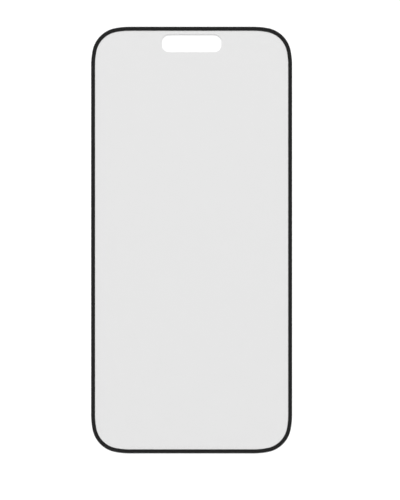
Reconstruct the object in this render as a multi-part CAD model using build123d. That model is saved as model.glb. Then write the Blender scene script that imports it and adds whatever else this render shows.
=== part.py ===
from build123d import *

import math
import os

# A phone screen protector lying on its back: a clear tempered-glass pane with a rounded front edge and a
# cut-out for the front camera, and a black border that runs round the pane's back, level with the back.
# Sizes are in millimetres and degrees. The origin is the middle of the back face. Seen from the front, +X
# is to the right and +Y points to the camera end, and +Z points out of the front face.

# Outline, seen from the front
WIDTH = 68.0
LENGTH = 144.3
CORNER_RADIUS = 9.65  # the tight arc in the middle of each corner
LEAD_RADIUS = 26.0  # the gentle arc that leads a straight side into the tight one
LEAD_ANGLE = 11.0  # how far each gentle arc turns

# Layers, from the front to the back
GLASS_THICKNESS = 0.33
COAT_THICKNESS = 0.12  # the clear adhesive coat, which fills the space inside the border

# Rounded front edge of the glass
EDGE_RUN = 0.4  # the front starts to fall away this far in from the outline
EDGE_LAND = 0.13  # the upright wall that is left at the outline

# Black border
BORDER_WIDTH = 1.32

# Camera cut-out
CUTOUT_WIDTH = 20.3
CUTOUT_HEIGHT = 6.0
CUTOUT_END_FLAT = 0.85  # the short straight between the two corner arcs at each end
CUTOUT_GAP = 1.28  # the clear glass left between the border and the cut-out
CUTOUT_EASE = 0.1  # the rounding of the cut-out's front edge

# Worked out from the sizes above
thickness = GLASS_THICKNESS + COAT_THICKNESS
lead_turn = math.radians(LEAD_ANGLE)
radius_step = LEAD_RADIUS - CORNER_RADIUS
centre_along = radius_step * math.sin(lead_turn)
centre_across = radius_step * math.cos(lead_turn)
corner_reach = LEAD_RADIUS - centre_across
corner_centre = Vector(WIDTH / 2 - corner_reach, LENGTH / 2 - corner_reach)
cutout_corner = (CUTOUT_HEIGHT - CUTOUT_END_FLAT) / 2
cutout_centre = LENGTH / 2 - BORDER_WIDTH - CUTOUT_GAP - CUTOUT_HEIGHT / 2


def corner_arcs(inset):
    """The +X +Y corner: a gentle arc off the long side, a tight one, and a gentle one onto the short side.
    Moving the outline inwards shortens all three radii and leaves their centres where they are."""
    side_centre = corner_centre - Vector(centre_across, centre_along)
    end_centre = corner_centre - Vector(centre_along, centre_across)
    side_lead = CenterArc(side_centre, LEAD_RADIUS - inset, 0, LEAD_ANGLE)
    middle = CenterArc(corner_centre, CORNER_RADIUS - inset, LEAD_ANGLE, 90 - 2 * LEAD_ANGLE)
    end_lead = CenterArc(end_centre, LEAD_RADIUS - inset, 90 - LEAD_ANGLE, LEAD_ANGLE)
    return [side_lead, middle, end_lead]


def outline(inset=0.0):
    """The face inside the protector's outline, after the outline has moved inwards by inset."""
    half_width = WIDTH / 2 - inset
    half_length = LENGTH / 2 - inset
    side_straight = corner_centre.Y - centre_along
    end_straight = corner_centre.X - centre_along
    side = Line((half_width, -side_straight), (half_width, side_straight))
    end = Line((-end_straight, half_length), (end_straight, half_length))
    arcs = corner_arcs(inset)
    right_arcs = arcs + [mirror(arc, about=Plane.XZ) for arc in arcs]
    left_arcs = [mirror(arc, about=Plane.YZ) for arc in right_arcs]
    straights = [side, mirror(side, about=Plane.YZ), end, mirror(end, about=Plane.XZ)]
    return make_face(right_arcs + left_arcs + straights)


def glass_rim():
    """The outermost strip of the glass: its front leaves the flat front face smoothly and falls in one arc."""
    inner = WIDTH / 2 - EDGE_RUN
    outer = WIDTH / 2
    front_start = (inner, thickness)
    land_top = (outer, COAT_THICKNESS + EDGE_LAND)
    fall = TangentArc(front_start, land_top, tangent=(1, 0))
    walls = Polyline(land_top, (outer, COAT_THICKNESS), (inner, COAT_THICKNESS), front_start)
    section = Plane.XZ * make_face([fall, walls])
    return sweep(section, path=outline().wire())


def camera_cutout():
    """The block that is taken out of the pane for the camera."""
    opening = RectangleRounded(CUTOUT_WIDTH, CUTOUT_HEIGHT, cutout_corner)
    return extrude(Pos(0, cutout_centre) * opening, thickness)


def glass_pane():
    """The clear sheet: glass over the whole outline, and the adhesive coat behind it inside the border."""
    flat_glass = extrude(Pos(0, 0, COAT_THICKNESS) * outline(EDGE_RUN), GLASS_THICKNESS)
    coat = extrude(outline(BORDER_WIDTH), COAT_THICKNESS)
    pane = flat_glass + glass_rim() + coat - camera_cutout()
    front_face = pane.faces().sort_by(Axis.Z)[-1]
    return fillet(front_face.inner_wires()[0].edges(), CUTOUT_EASE)


def black_border():
    """The printed frame behind the edge of the glass, as deep as the adhesive coat that it surrounds."""
    return extrude(outline() - outline(BORDER_WIDTH), COAT_THICKNESS)


os.makedirs("parts", exist_ok=True)
pieces = {"glass_pane": glass_pane(), "black_border": black_border()}
for name, piece in pieces.items():
    piece.label = name
    export_step(piece, f"parts/{name}.step")
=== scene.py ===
# %% [markdown]
# # A phone screen protector
# The real thing is a sheet of tempered glass, less than half a millimetre thick, that sticks to the front
# of a phone. It has a slim black border printed on its back and a pill-shaped cut-out for the front camera.
# It lies here on its back on a white table, as it would come to rest, and the camera looks straight down at
# it.
#
# A sheet this plain gets its look from three things: an outline that flows into its corners, a front edge
# that is rounded over, and glass that is clear but not quite invisible. The lesson takes them in that
# order. The frame that is loaded first fixes every size and place, in metres.

# %% Load the frame
import math

import bmesh
import bpy
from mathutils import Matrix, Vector


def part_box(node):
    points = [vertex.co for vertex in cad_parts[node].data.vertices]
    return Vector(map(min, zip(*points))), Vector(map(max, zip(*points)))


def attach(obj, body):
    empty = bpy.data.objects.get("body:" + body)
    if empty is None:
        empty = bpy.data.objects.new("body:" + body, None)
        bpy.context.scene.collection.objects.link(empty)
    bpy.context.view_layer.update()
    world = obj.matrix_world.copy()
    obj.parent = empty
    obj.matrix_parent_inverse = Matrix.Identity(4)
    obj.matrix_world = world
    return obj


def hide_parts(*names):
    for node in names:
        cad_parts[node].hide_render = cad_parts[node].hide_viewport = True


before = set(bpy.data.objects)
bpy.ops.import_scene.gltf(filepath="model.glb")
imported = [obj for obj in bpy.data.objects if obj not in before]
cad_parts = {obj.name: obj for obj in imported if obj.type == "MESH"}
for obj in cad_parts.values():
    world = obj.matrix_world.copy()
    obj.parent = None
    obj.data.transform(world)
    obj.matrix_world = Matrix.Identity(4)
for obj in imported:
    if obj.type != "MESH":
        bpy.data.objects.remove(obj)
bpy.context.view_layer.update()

# %% [markdown]
# ## Sizes
# What the frame can tell is read from it: the outer size, the front face's height and the height at which
# the glass begins above the border. The rest can't be read from a box, so it is repeated here as it would
# stand on a drawing, in millimetres.

# %% Sizes from the frame and the drawing
MM = 0.001
pane_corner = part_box("glass_pane")[1]
border_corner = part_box("black_border")[1]
HALF_WIDTH = pane_corner.x
HALF_LENGTH = pane_corner.y
FRONT = pane_corner.z
GLASS_BACK = border_corner.z

CORNER_RADIUS = 9.65 * MM
LEAD_RADIUS = 26.0 * MM
LEAD_ANGLE = math.radians(11.0)
EDGE_RUN = 0.4 * MM
EDGE_LAND = 0.13 * MM
BORDER_WIDTH = 1.32 * MM
CUTOUT_HALF_WIDTH = 10.15 * MM
CUTOUT_HALF_HEIGHT = 3.0 * MM
CUTOUT_HALF_FLAT = 0.425 * MM
CUTOUT_GAP = 1.28 * MM
CUTOUT_EASE = 0.1 * MM

print("half size", round(HALF_WIDTH / MM, 3), round(HALF_LENGTH / MM, 3), "front at", round(FRONT / MM, 3))

# %% [markdown]
# ## The outline as a path
# Each corner is three arcs, each tangent to the next: a gentle one off the long side, a tight one, and a
# gentle one onto the short side. A single arc would be quicker, but its edge would show a kink in every
# reflection where the straight suddenly starts to turn. A path is a list of moves, and a move is either a
# straight or a turn about a centre. Only a quarter of the outline is needed, because the rest is its mirror
# image.

# %% A quarter of each outline
RIGHT_ANGLE = math.pi / 2
radius_step = LEAD_RADIUS - CORNER_RADIUS
along = radius_step * math.sin(LEAD_ANGLE)
across = radius_step * math.cos(LEAD_ANGLE)
corner_reach = LEAD_RADIUS - across
corner_centre = Vector((HALF_WIDTH - corner_reach, HALF_LENGTH - corner_reach, 0))
side_centre = corner_centre - Vector((across, along, 0))
end_centre = corner_centre - Vector((along, across, 0))

outline_path = [
    ("straight", Vector((0, side_centre.y, 0))),
    ("turn", side_centre, LEAD_ANGLE),
    ("turn", corner_centre, RIGHT_ANGLE - 2 * LEAD_ANGLE),
    ("turn", end_centre, LEAD_ANGLE),
    ("straight", Vector((-end_centre.x, 0, 0))),
]

cutout_radius = CUTOUT_HALF_HEIGHT - CUTOUT_HALF_FLAT
cutout_corner = Vector((CUTOUT_HALF_WIDTH - cutout_radius, CUTOUT_HALF_FLAT, 0))
cutout_path = [
    ("straight", Vector((0, cutout_corner.y, 0))),
    ("turn", cutout_corner, RIGHT_ANGLE),
    ("straight", Vector((-cutout_corner.x, 0, 0))),
]
print("corner starts", round((HALF_LENGTH - side_centre.y) / MM, 2), "mm before the end of the long side")

# %% [markdown]
# ## Carrying a profile along a path
# A profile is a chain of edges that stands upright on the middle of the right-hand side. Extruding it makes
# a straight stretch, and spinning it makes a turn. Two mirrors close the quarter to a ring. Spin is the
# right tool here because it keeps the profile square to the path all the way round, which a scaled copy of
# the outline would not do.

# %% The ring builder
FACET = math.radians(1.5)  # an arc is drawn in facets that each turn no further than this
WELD = 0.0005 * MM  # points closer together than this become one


def only(kind, items):
    """The items of one kind, such as the vertices, out of an operator's result."""
    return [item for item in items if isinstance(item, kind)]


def carry_straight(bm, chain, move):
    """Extrudes a chain of edges in a straight line, and returns the chain at the far end."""
    made = bmesh.ops.extrude_edge_only(bm, edges=chain)["geom"]
    moved = set(only(bmesh.types.BMVert, made))
    bmesh.ops.translate(bm, verts=list(moved), vec=move)
    return [edge for edge in only(bmesh.types.BMEdge, made) if moved.issuperset(edge.verts)]


def carry_round(bm, chain, centre, angle):
    """Spins a chain of edges about an upright axis, and returns the chain at the far end."""
    corners = list({vert for edge in chain for vert in edge.verts})
    made = bmesh.ops.spin(
        bm, geom=corners + chain, cent=centre, axis=(0, 0, 1), dvec=(0, 0, 0), angle=angle,
        steps=math.ceil(angle / FACET), use_merge=False, use_normal_flip=False, use_duplicate=False,
    )["geom_last"]
    return only(bmesh.types.BMEdge, made)


def closed_ring(draw_profile, path):
    """Draws a profile, carries it along a quarter of an outline and mirrors that to a closed ring."""
    bm = bmesh.new()
    chain = draw_profile(bm)
    for kind, *move in path:
        chain = carry_straight(bm, chain, *move) if kind == "straight" else carry_round(bm, chain, *move)
    for axis in "XY":
        everything = bm.verts[:] + bm.edges[:] + bm.faces[:]
        bmesh.ops.mirror(bm, geom=everything, axis=axis, merge_dist=WELD)
    bmesh.ops.remove_doubles(bm, verts=bm.verts[:], dist=WELD)
    return bm


# %% [markdown]
# ## Profiles
# The pane's outer profile starts on the front face, rolls over in an arc that leaves the face smoothly,
# drops down the short upright wall at the outline, and steps in over the border to the back face. The
# cut-out's profile is simpler: a small rounding and a wall. The border's profile is a closed rectangle. An
# arc is a single vertex, spun: that is one operator, and its ends are exact. The border keeps a hair's
# breadth from the step that it fills, because two faces in the same place would fight for each ray and the
# black would mottle.

# %% The three profiles
EDGE_STEPS = 16
EASE_STEPS = 8
HAIR = 0.004 * MM
edge_drop = FRONT - GLASS_BACK - EDGE_LAND
edge_radius = (EDGE_RUN**2 + edge_drop**2) / (2 * edge_drop)
edge_angle = math.asin(EDGE_RUN / edge_radius)


def roll_over(bm, start, radius, angle, steps):
    """Spins a vertex of the front face down about a level axis, and returns the vertex at the far end."""
    centre = start.co - Vector((0, 0, radius))
    made = bmesh.ops.spin(
        bm, geom=[start], cent=centre, axis=(0, 1, 0), dvec=(0, 0, 0), angle=angle, steps=steps,
        use_merge=False, use_normal_flip=False, use_duplicate=False,
    )["geom_last"]
    return only(bmesh.types.BMVert, made)[0]


def draw_to(bm, vert, x, z):
    """Draws a straight edge from a vertex to a point of the profile, and returns the vertex there."""
    drawn = bmesh.ops.extrude_vert_indiv(bm, verts=[vert])["verts"][0]
    drawn.co = (x, 0, z)
    return drawn


def pane_profile(bm):
    """Front face, rounded edge, upright land, step over the border and wall down to the back face."""
    start = bm.verts.new((HALF_WIDTH - EDGE_RUN, 0, FRONT))
    land_top = roll_over(bm, start, edge_radius, edge_angle, EDGE_STEPS)
    land_foot = draw_to(bm, land_top, HALF_WIDTH, GLASS_BACK)
    step = draw_to(bm, land_foot, HALF_WIDTH - BORDER_WIDTH, GLASS_BACK)
    draw_to(bm, step, HALF_WIDTH - BORDER_WIDTH, 0)
    return bm.edges[:]


def cutout_profile(bm):
    """Front face, small rounding and wall down to the back face."""
    start = bm.verts.new((CUTOUT_HALF_WIDTH + CUTOUT_EASE, 0, FRONT))
    wall_top = roll_over(bm, start, CUTOUT_EASE, -RIGHT_ANGLE, EASE_STEPS)
    draw_to(bm, wall_top, CUTOUT_HALF_WIDTH, 0)
    return bm.edges[:]


def border_profile(bm):
    """A flat rectangle that fills the step in the pane's back."""
    inner_wall = HALF_WIDTH - BORDER_WIDTH + HAIR
    first = bm.verts.new((HALF_WIDTH, 0, 0))
    outer = draw_to(bm, first, HALF_WIDTH, GLASS_BACK - HAIR)
    inner = draw_to(bm, outer, inner_wall, GLASS_BACK - HAIR)
    last = draw_to(bm, inner, inner_wall, 0)
    bm.edges.new((last, first))
    return bm.edges[:]


print("front edge radius", round(edge_radius / MM, 3), "mm, tilting to", round(math.degrees(edge_angle), 1))

# %% [markdown]
# ## Shading and finishing a mesh
# Glass shows every shading fault, so the arcs are smooth, true corners are marked sharp, and a Weighted
# Normal modifier lets the large flat faces decide the shading where they meet the rounded edge. Without it
# the flat front would seem to bulge in reflections. Extruding makes its faces in an order that changes from
# run to run, so the faces are put in the order of their corners, and every run gives the same mesh.

# %% Turn a bmesh into a piece
SHARP = math.radians(25)  # a bend of at least this is a true corner


def order_faces(bm):
    """Sorts the faces by their three lowest corners, which no two faces share."""
    count = len(bm.verts)
    bm.verts.index_update()

    def rank(face):
        first, second, third, *_ = sorted(vert.index for vert in face.verts)
        return (first * count + second) * count + third

    bm.faces.sort(key=rank)


def finish_piece(name, bm):
    """Orders the faces, recalculates normals, marks the true corners and makes an object at the origin."""
    order_faces(bm)
    bmesh.ops.recalc_face_normals(bm, faces=bm.faces[:])
    for face in bm.faces:
        face.smooth = True
    for edge in bm.edges:
        edge.smooth = edge.calc_face_angle(math.pi) < SHARP
    volume = bm.calc_volume() / MM**3
    open_edges = sum(len(edge.link_faces) != 2 for edge in bm.edges)
    print(name, len(bm.faces), "faces,", round(volume, 1), "cubic mm,", open_edges, "open edges")
    mesh = bpy.data.meshes.new(name)
    bm.to_mesh(mesh)
    bm.free()
    piece = bpy.data.objects.new(name, mesh)
    bpy.context.scene.collection.objects.link(piece)
    even = piece.modifiers.new("flat_faces_stay_flat", "WEIGHTED_NORMAL")
    even.keep_sharp = True
    return piece


# %% [markdown]
# ## The pane
# The outer ring and the cut-out's ring are made apart, joined in one mesh, and closed with a flat fill on
# the front and one on the back. Triangle fill is used because it understands that the smaller loop is a
# hole.

# %% Model the glass pane
NEAR = 0.001 * MM  # a point this close to a height lies at that height


def loops_at(bm, height):
    """The open edges that lie at one height."""
    return [
        edge for edge in bm.edges
        if edge.is_boundary and all(abs(vert.co.z - height) < NEAR for vert in edge.verts)
    ]


cutout = closed_ring(cutout_profile, cutout_path)
cutout_middle = HALF_LENGTH - BORDER_WIDTH - CUTOUT_GAP - CUTOUT_HALF_HEIGHT
bmesh.ops.translate(cutout, verts=cutout.verts[:], vec=(0, cutout_middle, 0))
cutout_mesh = bpy.data.meshes.new("cutout_walls")
cutout.to_mesh(cutout_mesh)
cutout.free()

pane_bm = closed_ring(pane_profile, outline_path)
pane_bm.from_mesh(cutout_mesh)
bpy.data.meshes.remove(cutout_mesh)
for height, normal in ((FRONT, (0, 0, 1)), (0, (0, 0, -1))):
    bmesh.ops.triangle_fill(
        pane_bm, use_beauty=True, use_dissolve=False, edges=loops_at(pane_bm, height), normal=normal
    )
pane = finish_piece("tempered_glass_pane", pane_bm)

# %% [markdown]
# ## The border
# The print fills the step in the pane's back. It is the same path with a closed profile, so its edges run
# parallel to the outline all the way round.

# %% Model the printed border
border = finish_piece("printed_black_border", closed_ring(border_profile, outline_path))

# %% [markdown]
# ## Materials
# Colours are written as sRGB hex values, as a designer would name them, and turned to the linear values
# that the renderer works with. One helper adds a node: its options and its inputs are named in the call,
# and an input that is given another node's output is linked to it.

# %% Helpers for colours and nodes


def linear(hex_colour):
    """An sRGB hex colour as linear red, green, blue and alpha."""
    parts = [int(hex_colour[i:i + 2], 16) / 255 for i in (1, 3, 5)]
    return [c / 12.92 if c <= 0.04045 else ((c + 0.055) / 1.055) ** 2.4 for c in parts] + [1.0]


def add_node(tree, kind, inputs, **options):
    """Adds one node to a tree. An input takes a value, or is linked if it is given a socket."""
    node = tree.nodes.new(kind)
    for name, value in options.items():
        setattr(node, name, value)
    for name, value in inputs.items():
        if isinstance(value, bpy.types.NodeSocket):
            tree.links.new(value, node.inputs[name])
        else:
            node.inputs[name].default_value = value
    return node


def new_material(name):
    """A new material and its node tree, which starts empty."""
    material = bpy.data.materials.new(name)
    material.use_nodes = True
    material.node_tree.nodes.clear()
    return material, material.node_tree


print("middle grey, #808080, is", round(linear("#808080")[0], 3), "of full white in linear light")

# %% [markdown]
# ## Tempered glass
# Aluminosilicate sheet glass, polished, and finished with a thin coat that sheds fingerprints. It passes
# nearly all light, so what the eye gets is the table seen through it, a shade greyer, and a soft mirror
# image at low angles. The grey is the glass's base colour, which tints light on its way in and on its way
# out. The coat is never quite even, so the gloss drifts a little over a few centimetres.
#
# Light bends on its way through glass, and a renderer finds a lamp along a bent path only by luck, which
# leaves the table below grainy. In a sheet this thin the bend itself doesn't show. So sight gets the glass,
# and light that lights the table gets a clear sheet that takes about the same share.

# %% Glass that is clear to light


def clear_to_light(tree, surface, share):
    """Ends a glass material: sight gets its surface, and light on its way to the table a clear sheet."""
    ray = add_node(tree, "ShaderNodeLightPath", {})
    clear = add_node(tree, "ShaderNodeBsdfTransparent", {"Color": share})
    shader = surface.outputs["BSDF"]
    for kind in ("Is Shadow Ray", "Is Diffuse Ray"):
        mixed = add_node(
            tree, "ShaderNodeMixShader", {0: ray.outputs[kind], 1: shader, 2: clear.outputs["BSDF"]}
        )
        shader = mixed.outputs["Shader"]
    add_node(tree, "ShaderNodeOutputMaterial", {"Surface": shader})


# %% Glass finish
GLASS_TINT = "#EFEFEF"
GLASS_PASSES = "#F4F4F4"
GLASS_IOR = 1.5
COAT_PATCH = 22 * MM
COAT_GLOSS = (0.01, 0.05)
NOISE_LOW, NOISE_HIGH = 0.3, 0.7  # nearly all of a noise pattern lies between these

glass, tree = new_material("tempered_glass")
place = add_node(tree, "ShaderNodeTexCoord", {})
patches = add_node(
    tree, "ShaderNodeTexNoise", {"Vector": place.outputs["Object"], "Scale": 1 / COAT_PATCH, "Detail": 2.0}
)
gloss = add_node(
    tree, "ShaderNodeMapRange",
    {"Value": patches.outputs["Fac"], "From Min": NOISE_LOW, "From Max": NOISE_HIGH,
     "To Min": COAT_GLOSS[0], "To Max": COAT_GLOSS[1]},
)
surface = add_node(
    tree, "ShaderNodeBsdfPrincipled",
    {"Base Color": linear(GLASS_TINT), "Transmission Weight": 1.0, "IOR": GLASS_IOR,
     "Roughness": gloss.outputs["Result"]},
)
clear_to_light(tree, surface, linear(GLASS_PASSES))
passed = round(linear(GLASS_PASSES)[0], 3)
print(glass.name, "has", len(tree.nodes), "nodes, and each face passes", passed, "of the light")

# %% [markdown]
# ## Cut edge
# The opening is cut through the sheet, and its wall is ground and then polished. This wall doesn't pass
# light alike both ways. Light that enters by the front face meets it at so flat an angle that most is
# turned back into the glass, and so a fine shadow falls into the opening on the lamp's side. Light that
# comes down the opening enters the wall freely. The renderer follows light backwards, from the table to the
# lamp. A ray that starts in the opening meets the wall's front, and one that starts below the glass meets
# its back, so Backfacing tells the two apart.

# %% Cut edge finish
CUT_ROUGHNESS = 0.05
PASSED_OUT_OF_GLASS = "#A0A0A0"
PASSED_INTO_GLASS = "#F5F5F5"

cut_edge, tree = new_material("cut_glass_edge")
side = add_node(tree, "ShaderNodeNewGeometry", {})
share = add_node(
    tree, "ShaderNodeMix",
    {"Factor": side.outputs["Backfacing"],
     "A": linear(PASSED_OUT_OF_GLASS), "B": linear(PASSED_INTO_GLASS)},
    data_type="RGBA",
)
surface = add_node(
    tree, "ShaderNodeBsdfPrincipled",
    {"Base Color": linear(GLASS_TINT), "Transmission Weight": 1.0, "IOR": GLASS_IOR,
     "Roughness": CUT_ROUGHNESS},
)
clear_to_light(tree, surface, share.outputs["Result"])
out, into = (round(linear(shade)[0], 3) for shade in (PASSED_OUT_OF_GLASS, PASSED_INTO_GLASS))
print(cut_edge.name, "passes", out, "of the light out of the glass and", into, "into it")

# %% [markdown]
# ## Silicone adhesive
# The back of the pane is a clear coat of silicone that grips the display by itself. Silicone bends light
# less than glass and its skin is soft, so it is duller, with a fine mottle where it was poured.

# %% Adhesive finish
SILICONE_IOR = 1.41
SILICONE_ROUGHNESS = 0.1
MOTTLE = 1.8 * MM
MOTTLE_DEPTH = 0.02 * MM
MOTTLE_STRENGTH = 0.1

adhesive, tree = new_material("silicone_adhesive")
place = add_node(tree, "ShaderNodeTexCoord", {})
mottle = add_node(
    tree, "ShaderNodeTexNoise", {"Vector": place.outputs["Object"], "Scale": 1 / MOTTLE, "Detail": 3.0}
)
skin = add_node(
    tree, "ShaderNodeBump",
    {"Height": mottle.outputs["Fac"], "Strength": MOTTLE_STRENGTH, "Distance": MOTTLE_DEPTH},
)
surface = add_node(
    tree, "ShaderNodeBsdfPrincipled",
    {"Base Color": linear(GLASS_TINT), "Transmission Weight": 1.0, "IOR": SILICONE_IOR,
     "Roughness": SILICONE_ROUGHNESS, "Normal": skin.outputs["Normal"]},
)
clear_to_light(tree, surface, linear(GLASS_PASSES))
print(adhesive.name, "has", len(tree.nodes), "nodes and a mottle of", round(MOTTLE / MM, 2), "mm")

# %% [markdown]
# ## Black screen ink
# The border is opaque ink, pushed through a fine mesh onto the back of the glass. Its own skin, which shows
# at the outer wall and from behind, is satin, and pinholes and drag leave it a little uneven. A real
# pinhole is a few hundredths of a millimetre wide, which is finer than a pixel, so the grain is drawn at
# 0.9 mm.

# %% Ink finish
INK_DARK = "#131313"
INK_LIGHT = "#1B1B1B"
INK_CLOUD = 6 * MM
INK_GRAIN = 0.9 * MM
GRAIN_DEPTH = 0.01 * MM
GRAIN_STRENGTH = 0.2
INK_GLOSS = (0.36, 0.52)
INK_IOR = 1.5

ink, tree = new_material("black_screen_ink")
place = add_node(tree, "ShaderNodeTexCoord", {})
cloud = add_node(
    tree, "ShaderNodeTexNoise", {"Vector": place.outputs["Object"], "Scale": 1 / INK_CLOUD, "Detail": 2.0}
)
tone = add_node(
    tree, "ShaderNodeMix", {"Factor": cloud.outputs["Fac"], "A": linear(INK_DARK), "B": linear(INK_LIGHT)},
    data_type="RGBA",
)
grain = add_node(
    tree, "ShaderNodeTexNoise", {"Vector": place.outputs["Object"], "Scale": 1 / INK_GRAIN, "Detail": 3.0}
)
satin = add_node(
    tree, "ShaderNodeMapRange",
    {"Value": grain.outputs["Fac"], "From Min": NOISE_LOW, "From Max": NOISE_HIGH,
     "To Min": INK_GLOSS[0], "To Max": INK_GLOSS[1]},
)
relief = add_node(
    tree, "ShaderNodeBump",
    {"Height": grain.outputs["Fac"], "Strength": GRAIN_STRENGTH, "Distance": GRAIN_DEPTH},
)
surface = add_node(
    tree, "ShaderNodeBsdfPrincipled",
    {"Base Color": tone.outputs["Result"], "Roughness": satin.outputs["Result"], "IOR": INK_IOR,
     "Normal": relief.outputs["Normal"]},
)
add_node(tree, "ShaderNodeOutputMaterial", {"Surface": surface.outputs["BSDF"]})
print(ink.name, "has", len(tree.nodes), "nodes and a roughness of", INK_GLOSS)

# %% [markdown]
# ## Ink seen through the glass
# Where the ink wets the glass there is no air between them. Both bend light alike, so nothing mirrors there
# and the print looks deeper and more even than its own skin. It is the same ink without a gloss of its own.

# %% Ink behind glass
wetted_ink, tree = new_material("black_ink_behind_glass")
place = add_node(tree, "ShaderNodeTexCoord", {})
cloud = add_node(
    tree, "ShaderNodeTexNoise", {"Vector": place.outputs["Object"], "Scale": 1 / INK_CLOUD, "Detail": 2.0}
)
tone = add_node(
    tree, "ShaderNodeMix", {"Factor": cloud.outputs["Fac"], "A": linear(INK_DARK), "B": linear(INK_LIGHT)},
    data_type="RGBA",
)
surface = add_node(
    tree, "ShaderNodeBsdfPrincipled",
    {"Base Color": tone.outputs["Result"], "Roughness": 1.0, "Specular IOR Level": 0.0},
)
add_node(tree, "ShaderNodeOutputMaterial", {"Surface": surface.outputs["BSDF"]})
print(wetted_ink.name, "has", len(tree.nodes), "nodes, between", INK_DARK, "and", INK_LIGHT)

# %% [markdown]
# ## Which face gets which finish
# The pane's front and rim are polished glass, the rounding and wall of its cut-out are the cut edge, and
# its back face is adhesive. Its step lies against the print, so those faces get the ink as it looks through
# glass. The border itself gets the ink's own skin.

# %% Put the finishes on the pieces
LEVEL = 0.999  # a face that looks up more squarely than this belongs to the flat front
pane_finishes = (glass, cut_edge, adhesive, wetted_ink)
GLASS_FACE, CUT_FACE, ADHESIVE_FACE, INK_FACE = range(len(pane_finishes))

for finish in pane_finishes:
    pane.data.materials.append(finish)
border.data.materials.append(ink)


def at_cutout(point):
    """True for a point of the cut-out's rounding or wall, or of a flat face within its four corners."""
    aside = abs(point.x) - CUTOUT_EASE
    along_pane = abs(point.y - cutout_middle) - CUTOUT_EASE
    return aside < CUTOUT_HALF_WIDTH and along_pane < CUTOUT_HALF_HEIGHT


def finish_of(face):
    """Which finish a face of the pane gets, by where it lies and which way it looks."""
    if face.center.z < NEAR:
        return ADHESIVE_FACE
    if face.center.z < GLASS_BACK + NEAR:
        return INK_FACE
    return CUT_FACE if face.normal.z < LEVEL and at_cutout(face.center) else GLASS_FACE


for face in pane.data.polygons:
    face.material_index = finish_of(face)
counts = [sum(face.material_index == i for face in pane.data.polygons) for i in range(len(pane_finishes))]
print("pane faces of glass, cut edge, adhesive and ink", counts)

for piece, node, finish_slot in (
    (pane, "glass_pane", "tempered_glass"),
    (border, "black_border", "black_ink"),
):
    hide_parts(node)
    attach(piece, "root")

# %% [markdown]
# ## Table and light
# The table is matt white, and lies a hair below the protector's back, so that no two faces share a place. A
# dome lights it softly from all round. Seen from above, the glass mirrors the top of the dome, and from a
# low angle it mirrors the horizon. So both are dim: the top keeps the border black, and the horizon keeps
# the pane grey. A soft lamp beyond the end with the cut-out gives over half of the light, and with it the
# fine shadow along the cut-out's upper edge. It is large and far away, so that both ends of the sheet are
# lit alike. Its mirror image would wash the glass out, so it lights the table but is hidden from sight and
# from reflections.

# %% Set the table
TABLE_RADIUS = 6.0
TABLE_SEGMENTS = 96
TABLE_GAP = 0.005 * MM
TABLE_WHITE = "#F4F4F4"
TABLE_ROUGHNESS = 0.9

table_bm = bmesh.new()
bmesh.ops.create_circle(table_bm, cap_ends=True, segments=TABLE_SEGMENTS, radius=TABLE_RADIUS)
bmesh.ops.translate(table_bm, verts=table_bm.verts[:], vec=(0, 0, -TABLE_GAP))
table_mesh = bpy.data.meshes.new("white_table")
table_bm.to_mesh(table_mesh)
table_bm.free()
table = bpy.data.objects.new("white_table", table_mesh)
bpy.context.scene.collection.objects.link(table)

paint, tree = new_material("matt_white_paint")
surface = add_node(
    tree, "ShaderNodeBsdfPrincipled",
    {"Base Color": linear(TABLE_WHITE), "Roughness": TABLE_ROUGHNESS, "Specular IOR Level": 0.0},
)
add_node(tree, "ShaderNodeOutputMaterial", {"Surface": surface.outputs["BSDF"]})
table.data.materials.append(paint)
print("table", 2 * TABLE_RADIUS, "m wide,", round(TABLE_GAP / MM, 3), "mm below the protector")

# %% Light the dome
# Each stop is the sine of a height above the horizon, and the dome's level there.
DOME_STOPS = ((0.0, 0.46), (0.55, 0.71), (0.8, 0.63), (1.0, 0.28))

dome = bpy.data.worlds.new("studio_dome")
dome.use_nodes = True
dome.node_tree.nodes.clear()
tree = dome.node_tree
direction = add_node(tree, "ShaderNodeTexCoord", {})
height = add_node(tree, "ShaderNodeSeparateXYZ", {"Vector": direction.outputs["Generated"]})
levels = add_node(tree, "ShaderNodeValToRGB", {"Fac": height.outputs["Z"]})
levels.color_ramp.interpolation = "EASE"
while len(levels.color_ramp.elements) < len(DOME_STOPS):
    levels.color_ramp.elements.new(1.0)
for stop, (sine, level) in zip(levels.color_ramp.elements, DOME_STOPS):
    stop.position = sine
    stop.color = (level, level, level, 1.0)
sky = add_node(tree, "ShaderNodeBackground", {"Color": levels.outputs["Color"], "Strength": 1.0})
add_node(tree, "ShaderNodeOutputWorld", {"Surface": sky.outputs["Background"]})
bpy.context.scene.world = dome
print("dome levels from the horizon to the top", [level for sine, level in DOME_STOPS])

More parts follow.
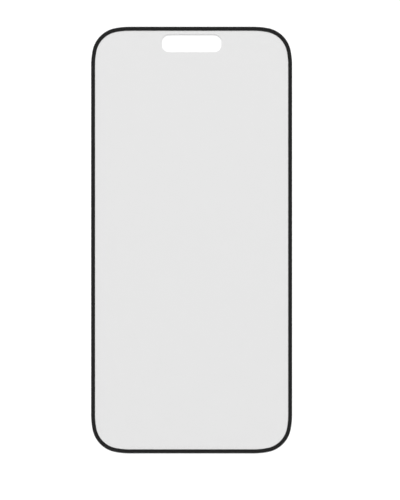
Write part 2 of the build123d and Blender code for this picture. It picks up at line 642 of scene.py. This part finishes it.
# %% Hang the soft lamp
# Sizes are in metres, and the power is in watts.
LAMP_DISTANCE = 8.0
LAMP_ELEVATION = math.radians(45)
LAMP_WIDE, LAMP_HIGH = 6.0, 5.2
LAMP_POWER = 756.0

lamp_data = bpy.data.lights.new("soft_lamp", "AREA")
lamp_data.shape = "RECTANGLE"
lamp_data.size = LAMP_WIDE
lamp_data.size_y = LAMP_HIGH
lamp_data.energy = LAMP_POWER
lamp = bpy.data.objects.new("soft_lamp", lamp_data)
lamp.location = LAMP_DISTANCE * Vector((0, math.cos(LAMP_ELEVATION), math.sin(LAMP_ELEVATION)))
lamp.rotation_mode = "QUATERNION"
lamp.rotation_quaternion = (-lamp.location).to_track_quat("-Z", "Y")
lamp.visible_camera = False
lamp.visible_glossy = False
lamp.visible_transmission = False
bpy.context.scene.collection.objects.link(lamp)
print("lamp", LAMP_WIDE, "by", LAMP_HIGH, "m,", round(lamp.location.z, 2), "m above the table")

# %% [markdown]
# ## Camera
# The photograph shows the protector square on, with no perspective that could be measured, so the lens is
# long and looks straight down. The protector's width and middle in the picture give the scale and the
# place. The sensor spans the picture's longer side, which here is its height, and that gives the camera's
# distance. Plain greys are wanted as they are, so the view transform is Standard.

# %% Place the camera
# The picture is measured in pixels, and the lens and the sensor in millimetres.
PICTURE_WIDE, PICTURE_HIGH = 400, 500
WIDTH_IN_PICTURE = 200.99
MIDDLE_IN_PICTURE = (191.62, 239.99)
LENS = 200.0
SENSOR = 36.0

pixel = 2 * HALF_WIDTH / WIDTH_IN_PICTURE
camera_data = bpy.data.cameras.new("camera")
camera_data.lens = LENS
camera_data.sensor_width = SENSOR
camera = bpy.data.objects.new("camera", camera_data)
camera.location = (
    (PICTURE_WIDE / 2 - MIDDLE_IN_PICTURE[0]) * pixel,
    (MIDDLE_IN_PICTURE[1] - PICTURE_HIGH / 2) * pixel,
    GLASS_BACK + PICTURE_HIGH * pixel * LENS / SENSOR,
)
bpy.context.scene.collection.objects.link(camera)
bpy.context.scene.camera = camera
bpy.context.scene.view_settings.view_transform = "Standard"
print("a pixel is", round(pixel / MM, 4), "mm, and the camera is", round(camera.location.z, 3), "m up")
